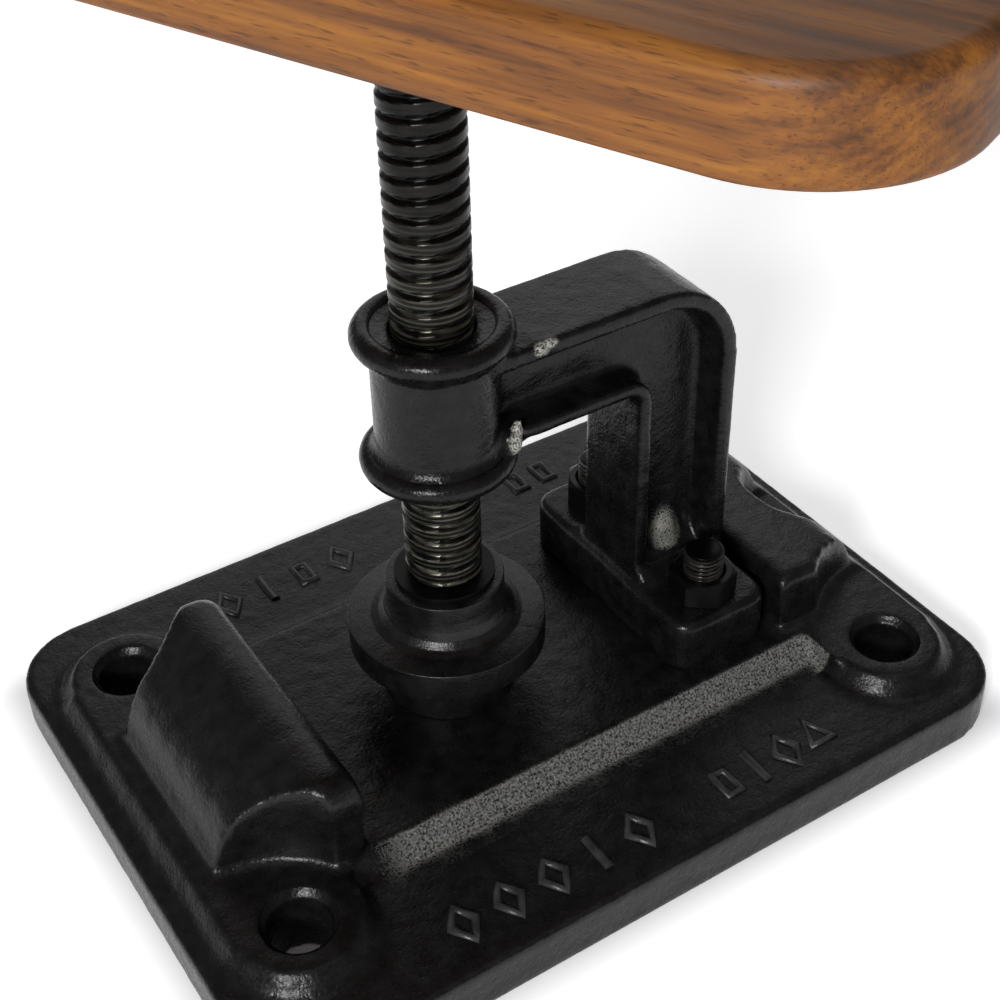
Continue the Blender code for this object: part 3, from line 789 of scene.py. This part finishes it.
class STOOL_OT_marks(bpy.types.Operator):
    """Set plain raised marks on the plate's flange"""

    bl_idname = "stool.marks"
    bl_label = "Cast marks"

    def execute(self, context):
        tree = marks_tree()
        # the marks' iron is lighter grey than the plate's: a painted highlight on the raised strokes
        iron = cast_iron("waxed_cast_iron_marks", linear("#2b2b2b"), roughness=0.34, shine=0.45)
        # where each row starts, how many marks it has, their spacing and what it adds to the seed
        rows = (
            (-0.0830, -0.1025, 5, 0.0192, 0), (0.0350, -0.1020, 4, 0.0150, 2),
            (-0.0780, 0.0970, 4, 0.0182, 5), (0.0710, 0.0990, 2, 0.0150, 7),
        )
        whole = bmesh.new()
        for x, y, count, spacing, more in rows:
            part = from_tree(
                tree, count=count, spacing=spacing, mark_size=sizes().mark_size, stroke=sizes().mark_stroke,
                seed=sizes().mark_seed + more, material=iron,
            )
            sink = sizes().mark_height - sizes().mark_stroke
            part.transform(Matrix.Translation((x, y, FLANGE_TOP + sink)))
            whole.from_mesh(part)
            bpy.data.meshes.remove(part)
        bmesh.ops.subdivide_edges(whole, edges=whole.edges, cuts=1)
        roughen(whole, 0.55 * MM, size=2.4 * MM, seed=1.7)
        mesh = mesh_from(whole)
        shade(mesh)
        link_piece("cast_marks", mesh, iron, "stand")
        return {"FINISHED"}


# lumps of flash at the arm's joins, and the fettled swelling at the foot of the web: centre and half sizes;
# the swelling's pale patch is also a painted highlight
ARM_LUMPS = (
    ((0.0065, -0.0190, 0.1835), (0.0035, 0.0020, 0.0025)),
    ((0.0100, -0.0195, 0.1850), (0.0030, 0.0015, 0.0020)),
    ((-0.0030, -0.0180, 0.1530), (0.0022, 0.0024, 0.0045)),
    ((-0.0050, -0.0200, 0.1480), (0.0026, 0.0026, 0.0042)),
    ((0.0755, -0.0055, 0.0590), (0.0068, 0.0056, 0.0125)),
    ((0.0755, 0.0055, 0.0590), (0.0068, 0.0056, 0.0125)),
)


def add_lump(bm, spot, size):
    made = bmesh.ops.create_icosphere(bm, subdivisions=3, radius=1.0)
    for vert in made["verts"]:
        uneven = 1 + 0.25 * noise.noise(vert.co * 1.7 + spot * 300)
        vert.co = spot + Vector(a * b for a, b in zip(vert.co * uneven, size))


def arc(centre, radius, start, end, steps):
    """Points on an arc in (radius, z), angles in degrees from level outwards."""
    out = []
    for k in range(steps + 1):
        a = math.radians(start + (end - start) * k / steps)
        out.append((centre[0] + radius * math.cos(a), centre[1] + radius * math.sin(a)))
    return out


def boss_profile():
    """The boss's closed outline in metres: two half-round beads on a plain barrel, and a sunk top face."""
    outline = [(15.2, 136.8), (15.9, 136.2), (23.6, 136.2)]
    outline += arc((24.4, 141.0), 4.5, -80, 105, 14)
    outline += [(23.0, 145.6), (22.85, 146.4), (22.8, 150), (22.8, 182), (22.85, 187.6), (23.1, 188.3)]
    outline += arc((24.5, 192.7), 4.6, -108, 125, 16)
    outline += [(21.6, 195.2), (21.3, 194.3), (21.0, 194.2), (20.7, 195.1), (16.0, 195.1), (15.2, 194.3)]
    return [(r * MM, z * MM) for r, z in outline]


class STOOL_OT_arm(bpy.types.Operator):
    """Build the C-arm casting with its boss and foot"""

    bl_idname = "stool.arm"
    bl_label = "Arm casting"

    def execute(self, context):
        bm = cad_copy("arm_casting")
        for spot, size in ARM_LUMPS:
            add_lump(bm, Vector(spot), Vector(size))
        mesh = cast_skin(bm, sizes().arm_grain, passes=22, hollow=0.6, edge=0.14)
        # the bore is cut last, clear of the thread that turns in it
        bore = [(0, 120 * MM), (15.3 * MM, 120 * MM), (15.3 * MM, 205 * MM), (0, 205 * MM)]
        mesh = cut_away(mesh, mesh_from(turned(bore, AXIS, sides=160)))
        bm = bmesh.new()
        bm.from_mesh(mesh)
        boss = mesh_from(turned(boss_profile(), AXIS, sides=160))
        bm.from_mesh(boss)
        bpy.data.meshes.remove(boss)

        def join_lumps(spot):
            # fettled flash where the arm's edges run into the boss
            reach = math.hypot(spot.x - AXIS.x, spot.y)
            near = max(0.0, 1.0 - abs(reach - 29 * MM) / (7 * MM))
            side = max(0.0, 1.0 - abs(abs(spot.y) - 18 * MM) / (7 * MM))
            smooth = 0.5 if reach < 29 * MM else 1.0
            return smooth + 6.0 * near * side * (1.0 if spot.x > AXIS.x + 20 * MM else 0.0)

        roughen(bm, sizes().skin, size=6 * MM, seed=9.4, where=join_lumps)
        bm.to_mesh(mesh)
        bm.free()
        shade(mesh, 60)
        # the pale gritty patches are unwaxed metal on the lumps of flash; on the fettled swelling at the
        # web's foot the patch is unwaxed metal and a painted highlight
        bare_and_highlight_patches = [(spot, [c * 1.2 for c in size]) for spot, size in ARM_LUMPS]
        iron = cast_iron(
            "waxed_cast_iron_arm", tuple(colours().iron), roughness=0.23, shine=0.19, grain_mm=1.2,
            patches=bare_and_highlight_patches, bare_hex="#adada4",
        )
        link_piece("arm_body", mesh, iron, "stand", "arm_casting")
        return {"FINISHED"}


class STOOL_OT_cup(bpy.types.Operator):
    """Turn the pivot cup that takes the spindle's end"""

    bl_idname = "stool.cup"
    bl_label = "Pivot cup"

    def execute(self, context):
        outline = [
            (0, 7.3), (16, 7.3), (16, 29.8), (26, 29.8), (26, 50), (28, 52.3), (38.6, 52.5), (38.6, 64.8),
            (29.6, 65.5), (26.6, 66.7), (24.4, 69.2), (23.3, 73), (22.8, 77), (22.8, 84.1),
            (12.4, 84.1), (12.4, 79.5), (9.4, 78.1), (9.4, 10.3), (0, 10.3),
        ]
        bm = turned(rounded([(r * MM, z * MM) for r, z in outline], 0.45 * MM), AXIS, sides=160)
        roughen(bm, 0.05 * MM, size=5 * MM, seed=2.2)
        mesh = mesh_from(bm)
        shade(mesh, 40)
        iron = cast_iron(
            "waxed_cast_iron_cup", tuple(colours().iron), roughness=0.31, shine=0.34, grain_mm=0.8,
        )
        link_piece("cup_body", mesh, iron, "stand", "pivot_cup")
        return {"FINISHED"}


# ---------------------------------------------------------------- steel
def threaded_bar(tree, centre, foot, head, radius, depth, pitch, sides, material, turn):
    """A closed threaded length between two heights."""
    length = head - foot
    mesh = from_tree(
        tree, radius=radius, depth=depth, pitch=pitch, length=length, sides=sides + 1,
        rows=int(length / pitch * 12) + 1, material=material,
    )
    bm = bmesh.new()
    bm.from_mesh(mesh)
    bpy.data.meshes.remove(mesh)
    bmesh.ops.holes_fill(bm, edges=[e for e in bm.edges if e.is_boundary], sides=0)
    bmesh.ops.recalc_face_normals(bm, faces=bm.faces)
    bm.transform(Matrix.Translation((centre.x, centre.y, foot)) @ Matrix.Rotation(turn, 4, "Z"))
    return bm


def add_turned(bm, profile, centre, sides=64):
    part = mesh_from(turned(profile, centre, sides))
    bm.from_mesh(part)
    bpy.data.meshes.remove(part)


class STOOL_OT_spindle(bpy.types.Operator):
    """Cut the spindle's coarse right-hand thread and turn its ends"""

    bl_idname = "stool.spindle"
    bl_label = "Spindle"

    def execute(self, context):
        tree = bpy.data.node_groups.get("helical_thread") or thread_tree()
        radius = (high("spindle").x - low("spindle").x) / 2
        depth = sizes().thread_depth
        steel = bar_steel(
            "oiled_bar_steel", tuple(colours().steel), AXIS, crest=radius - 0.05 * MM,
            root=radius - depth * 0.75, fine_below=180 * MM,
        )
        bm = threaded_bar(
            tree, AXIS, THREAD_FOOT, THREAD_HEAD, radius, depth, sizes().thread_pitch, sides=80,
            material=steel, turn=0.6,
        )
        roughen(bm, 0.07 * MM, size=2.5 * MM, seed=5.0)
        base = low("spindle").z
        top = high("spindle").z
        journal = [
            (0, base), (JOURNAL_RADIUS - 1.2 * MM, base), (JOURNAL_RADIUS, base + 1.2 * MM),
            (JOURNAL_RADIUS, 81 * MM), (8 * MM, 81 * MM), (8 * MM, 84 * MM), (JOURNAL_RADIUS, 84 * MM),
            (JOURNAL_RADIUS, THREAD_FOOT + 0.2 * MM), (0, THREAD_FOOT + 0.2 * MM),
        ]
        add_turned(bm, journal, AXIS)
        add_turned(bm, [
            (0, THREAD_HEAD - 0.2 * MM), (SPIGOT_RADIUS, THREAD_HEAD - 0.2 * MM),
            (SPIGOT_RADIUS, top - 1 * MM), (SPIGOT_RADIUS - 1 * MM, top), (0, top),
        ], AXIS)
        mesh = mesh_from(bm)
        shade(mesh, 45)
        link_piece("spindle_screw", mesh, steel, "seat_spindle", "spindle")
        return {"FINISHED"}


def nut_mesh(node, turn):
    """A hexagon nut with turned chamfers on both faces, over its stud."""
    centre = middle(node)
    bottom, top = low(node).z, high(node).z
    across = 24 * MM
    corner = across / 2 / math.cos(math.radians(30))
    bm = bmesh.new()
    rings = []
    for z in (bottom, top):
        ring = []
        for k in range(6):
            a = math.radians(60 * k + turn)
            ring.append(bm.verts.new((centre.x + corner * math.cos(a), centre.y + corner * math.sin(a), z)))
        rings.append(ring)
    for k in range(6):
        n = (k + 1) % 6
        bm.faces.new((rings[0][k], rings[0][n], rings[1][n], rings[1][k]))
    bm.faces.new(rings[0][::-1])
    bm.faces.new(rings[1])
    bmesh.ops.recalc_face_normals(bm, faces=bm.faces)
    bmesh.ops.bevel(
        bm, geom=[e for e in bm.edges if abs(e.verts[0].co.z - e.verts[1].co.z) > 1 * MM],
        offset=0.5 * MM, segments=2, affect="EDGES", profile=0.5,
    )
    blank = mesh_from(bm)
    # the chamfer is a cone that leaves a round face as wide as the flats
    face = across / 2 * 0.96
    drop = (corner + 1 * MM - face) * math.tan(math.radians(30))
    barrel = turned([
        (8.3 * MM, bottom), (face, bottom), (corner + 1 * MM, bottom + drop * 0.5),
        (corner + 1 * MM, top - drop), (face, top), (9.4 * MM, top), (8.3 * MM, top - 1.1 * MM),
    ], centre, 72)
    return cut_away(blank, mesh_from(barrel), "INTERSECT")


class STOOL_OT_fixings(bpy.types.Operator):
    """Build the two studs and hexagon nuts that hold the arm's foot"""

    bl_idname = "stool.fixings"
    bl_label = "Studs and nuts"

    def execute(self, context):
        tree = bpy.data.node_groups.get("helical_thread") or thread_tree()
        for place, turn in (("front", 22), ("back", -8)):
            stud = "stud_" + place
            centre = middle(stud)
            radius = (high(stud).x - low(stud).x) / 2
            steel = bar_steel(
                "blackened_steel_" + stud, linear("#55534f"), centre, crest=radius - 0.05 * MM,
                root=radius - 0.9 * MM,
            )
            bm = threaded_bar(
                tree, centre, 40 * MM, high(stud).z - 0.6 * MM, radius, depth=1.15 * MM,
                pitch=sizes().stud_pitch, sides=48, material=steel, turn=0.9,
            )
            add_turned(bm, [
                (0, low(stud).z), (radius - 1.5 * MM, low(stud).z), (radius, low(stud).z + 1.5 * MM),
                (radius, 40.2 * MM), (0, 40.2 * MM),
            ], centre, 48)
            add_turned(bm, [
                (0, high(stud).z - 2.0 * MM), (radius - 0.7 * MM, high(stud).z - 2.0 * MM),
                (radius - 1.5 * MM, high(stud).z - 0.2 * MM), (radius - 2.2 * MM, high(stud).z),
                (0, high(stud).z),
            ], centre, 48)
            mesh = mesh_from(bm)
            shade(mesh, 40)
            link_piece("threaded_" + stud, mesh, steel, "stand", stud)
            nut = nut_mesh("nut_" + place, turn)
            shade(nut, 25)
            black = plain_steel("blackened_steel_nut_" + place, linear("#2a2a2b"), 0.3)
            link_piece("hexagon_nut_" + place, nut, black, "stand", "nut_" + place)
        return {"FINISHED"}


# ---------------------------------------------------------------- seat
def rounded_outline(half_x, half_y, radius, steps):
    loop = []
    for k, (sx, sy) in enumerate(((1, 1), (-1, 1), (-1, -1), (1, -1))):
        for s in range(steps + 1):
            a = math.radians(90 * k + 90 * s / steps)
            x = sx * (half_x - radius) + radius * math.cos(a)
            y = sy * (half_y - radius) + radius * math.sin(a)
            loop.append((x, y))
    return loop


class STOOL_OT_board(bpy.types.Operator):
    """Shape the board seat with its rounded corners and eased edges"""

    bl_idname = "stool.board"
    bl_label = "Board seat"

    def execute(self, context):
        bottom, top = low("seat_board").z, high("seat_board").z
        half_l, half_w, corner = 210 * MM, 139.5 * MM, 39.5 * MM
        edge = sizes().board_edge
        rows = [(1.5 * MM, bottom), (0.4 * MM, bottom + 0.4 * MM), (0.0, bottom + 1.5 * MM)]
        rows += [(0.0, bottom + (top - edge - bottom) * k / 4) for k in (1, 2, 3)]
        for k in range(9):
            a = math.radians(90 * k / 8)
            rows.append((edge * (1 - math.cos(a)), top - edge + edge * math.sin(a)))
        bm = bmesh.new()
        rings = []
        for inset, z in rows:
            outline = rounded_outline(half_l - inset, half_w - inset, corner - inset, 20)
            rings.append([bm.verts.new((x, y, z)) for x, y in outline])
        for a, b in zip(rings, rings[1:]):
            for k in range(len(a)):
                n = (k + 1) % len(a)
                bm.faces.new((a[k], a[n], b[n], b[k]))
        bm.faces.new(rings[0][::-1])
        bm.faces.new(rings[-1])
        bm.transform(Matrix.Translation(AXIS) @ Matrix.Rotation(SEAT_ANGLE, 4, "Z"))
        bmesh.ops.recalc_face_normals(bm, faces=bm.faces)
        mesh = mesh_from(bm)
        shade(mesh, 60)
        link_piece("walnut_board", mesh, oiled_walnut(), "seat_spindle", "seat_board")
        return {"FINISHED"}


class STOOL_OT_fittings(bpy.types.Operator):
    """Finish the small parts that keep their made shape"""

    bl_idname = "stool.fittings"
    bl_label = "Small fittings"

    def execute(self, context):
        finishes = {
            "stop_washer": plain_steel("oiled_steel_washer", linear("#1d1d1e"), 0.4),
            "retaining_ring": plain_steel("spring_steel_ring", linear("#4a4a4a"), 0.4),
            "seat_flange": plain_steel("black_painted_flange", linear("#242425"), 0.45),
            "hub_pin": plain_steel("ground_steel_pin", linear("#a09e99"), 0.3),
        }
        zinc = plain_steel("zinc_plated_screws", linear("#b3b1a8"), 0.34)
        for k in range(4):
            finishes["seat_screw_%d" % (k + 1)] = zinc
        for node, material in finishes.items():
            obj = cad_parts[node]
            for slot in obj.material_slots:
                slot.material = material
        return {"FINISHED"}


# ---------------------------------------------------------------- stage
def area_light(name, place, aim, size, power):
    data = bpy.data.lights.new(name, "AREA")
    data.shape = "RECTANGLE"
    data.size, data.size_y = size
    data.energy = power
    obj = bpy.data.objects.new(name, data)
    obj.location = place
    obj.rotation_euler = (Vector(aim) - Vector(place)).to_track_quat("-Z", "Y").to_euler()
    bpy.context.scene.collection.objects.link(obj)


class STOOL_OT_stage(bpy.types.Operator):
    """Set the floor, the soft studio light and the camera"""

    bl_idname = "stool.stage"
    bl_label = "Stage"

    def execute(self, context):
        scene = context.scene
        bm = bmesh.new()
        bmesh.ops.create_grid(bm, x_segments=1, y_segments=1, size=40.0)
        floor_mesh = mesh_from(bm)
        material, tree, shader = new_material("matt_studio_floor")
        shader.inputs["Base Color"].default_value = tuple(colours().floor)
        shader.inputs["Roughness"].default_value = 0.9
        shader.inputs["Specular IOR Level"].default_value = 0.1
        shader.inputs["Emission Color"].default_value = tuple(colours().floor)
        # the floor glows like a lit table, but not under the base plate, and less close beside it: a painted
        # shadow of the plate on the floor
        plate = (high("base_plate") - low("base_plate")) / 2
        inner = (10 * MM - plate.x, 10 * MM - plate.y, 0.0)
        spot = put(tree, "ShaderNodeTexCoord").outputs["Object"]
        away = put(tree, "ShaderNodeVectorMath", {0: spot}, operation="ABSOLUTE").outputs[0]
        past = put(
            tree, "ShaderNodeVectorMath", {0: away, 1: inner}, operation="ADD",
        ).outputs[0]
        outside = put(
            tree, "ShaderNodeVectorMath", {0: past, 1: (0.0, 0.0, 0.0)}, operation="MAXIMUM",
        ).outputs[0]
        gap = put(tree, "ShaderNodeVectorMath", {0: outside}, operation="LENGTH").outputs["Value"]
        glow_with_painted_shadow = put(
            tree, "ShaderNodeMapRange",
            {"Value": gap, "From Min": 0.002, "From Max": 0.026, "To Min": 0.0, "To Max": 0.55},
            interpolation_type="SMOOTHSTEP",
        ).outputs[0]
        tree.links.new(glow_with_painted_shadow, shader.inputs["Emission Strength"])
        floor_mesh.materials.append(material)
        floor = bpy.data.objects.new("studio_floor", floor_mesh)
        scene.collection.objects.link(floor)
        world = scene.world or bpy.data.worlds.new("studio")
        scene.world = world
        world.use_nodes = True
        sky = world.node_tree.nodes["Background"]
        sky.inputs["Color"].default_value = linear("#ffffff")
        sky.inputs["Strength"].default_value = 0.18
        area_light("key_softbox", (-1.8, -1.52, 1.34), aim=(0, 0, 0.12), size=(0.6, 0.5), power=66)
        area_light("overhead_softbox", (0.2, -0.4, 2.4), aim=(0, 0, 0.1), size=(1.4, 1.4), power=6)
        area_light("back_panel", (1.3, 2.2, 1.6), aim=(0, 0, 0.2), size=(2.4, 1.8), power=12)
        scene.view_settings.view_transform = "Standard"
        data = bpy.data.cameras.new("camera")
        data.sensor_width = 36
        data.lens = 60.9
        camera = bpy.data.objects.new("camera", data)
        camera.location = (-0.2685, -0.4287, 0.5065)
        camera.rotation_euler = (math.radians(51.711), math.radians(1.049), math.radians(-32.914))
        scene.collection.objects.link(camera)
        scene.camera = camera
        return {"FINISHED"}


class STOOL_PT_panel(bpy.types.Panel):
    bl_idname = "STOOL_PT_panel"
    bl_label = "Swivel Stool"
    bl_space_type = "VIEW_3D"
    bl_region_type = "UI"
    bl_category = "Stool"

    def draw(self, context):
        for operator in OPERATORS:
            self.layout.operator(operator.bl_idname)
        for group in (context.scene.stool_sizes, context.scene.stool_colours):
            for name in group.__annotations__:
                self.layout.prop(group, name)


OPERATORS = (
    STOOL_OT_base, STOOL_OT_marks, STOOL_OT_arm, STOOL_OT_cup, STOOL_OT_spindle, STOOL_OT_fixings,
    STOOL_OT_board, STOOL_OT_fittings, STOOL_OT_stage,
)
CLASSES = (StoolSizes, StoolColours, *OPERATORS, STOOL_PT_panel)


def register():
    for cls in CLASSES:
        bpy.utils.register_class(cls)
    bpy.types.Scene.stool_sizes = PointerProperty(type=StoolSizes)
    bpy.types.Scene.stool_colours = PointerProperty(type=StoolColours)


def unregister():
    del bpy.types.Scene.stool_colours
    del bpy.types.Scene.stool_sizes
    for cls in reversed(CLASSES):
        bpy.utils.unregister_class(cls)


def main():
    register()
    for operator in OPERATORS:
        group, name = operator.bl_idname.split(".")
        getattr(getattr(bpy.ops, group), name)()


if __name__ == "__main__":
    main()
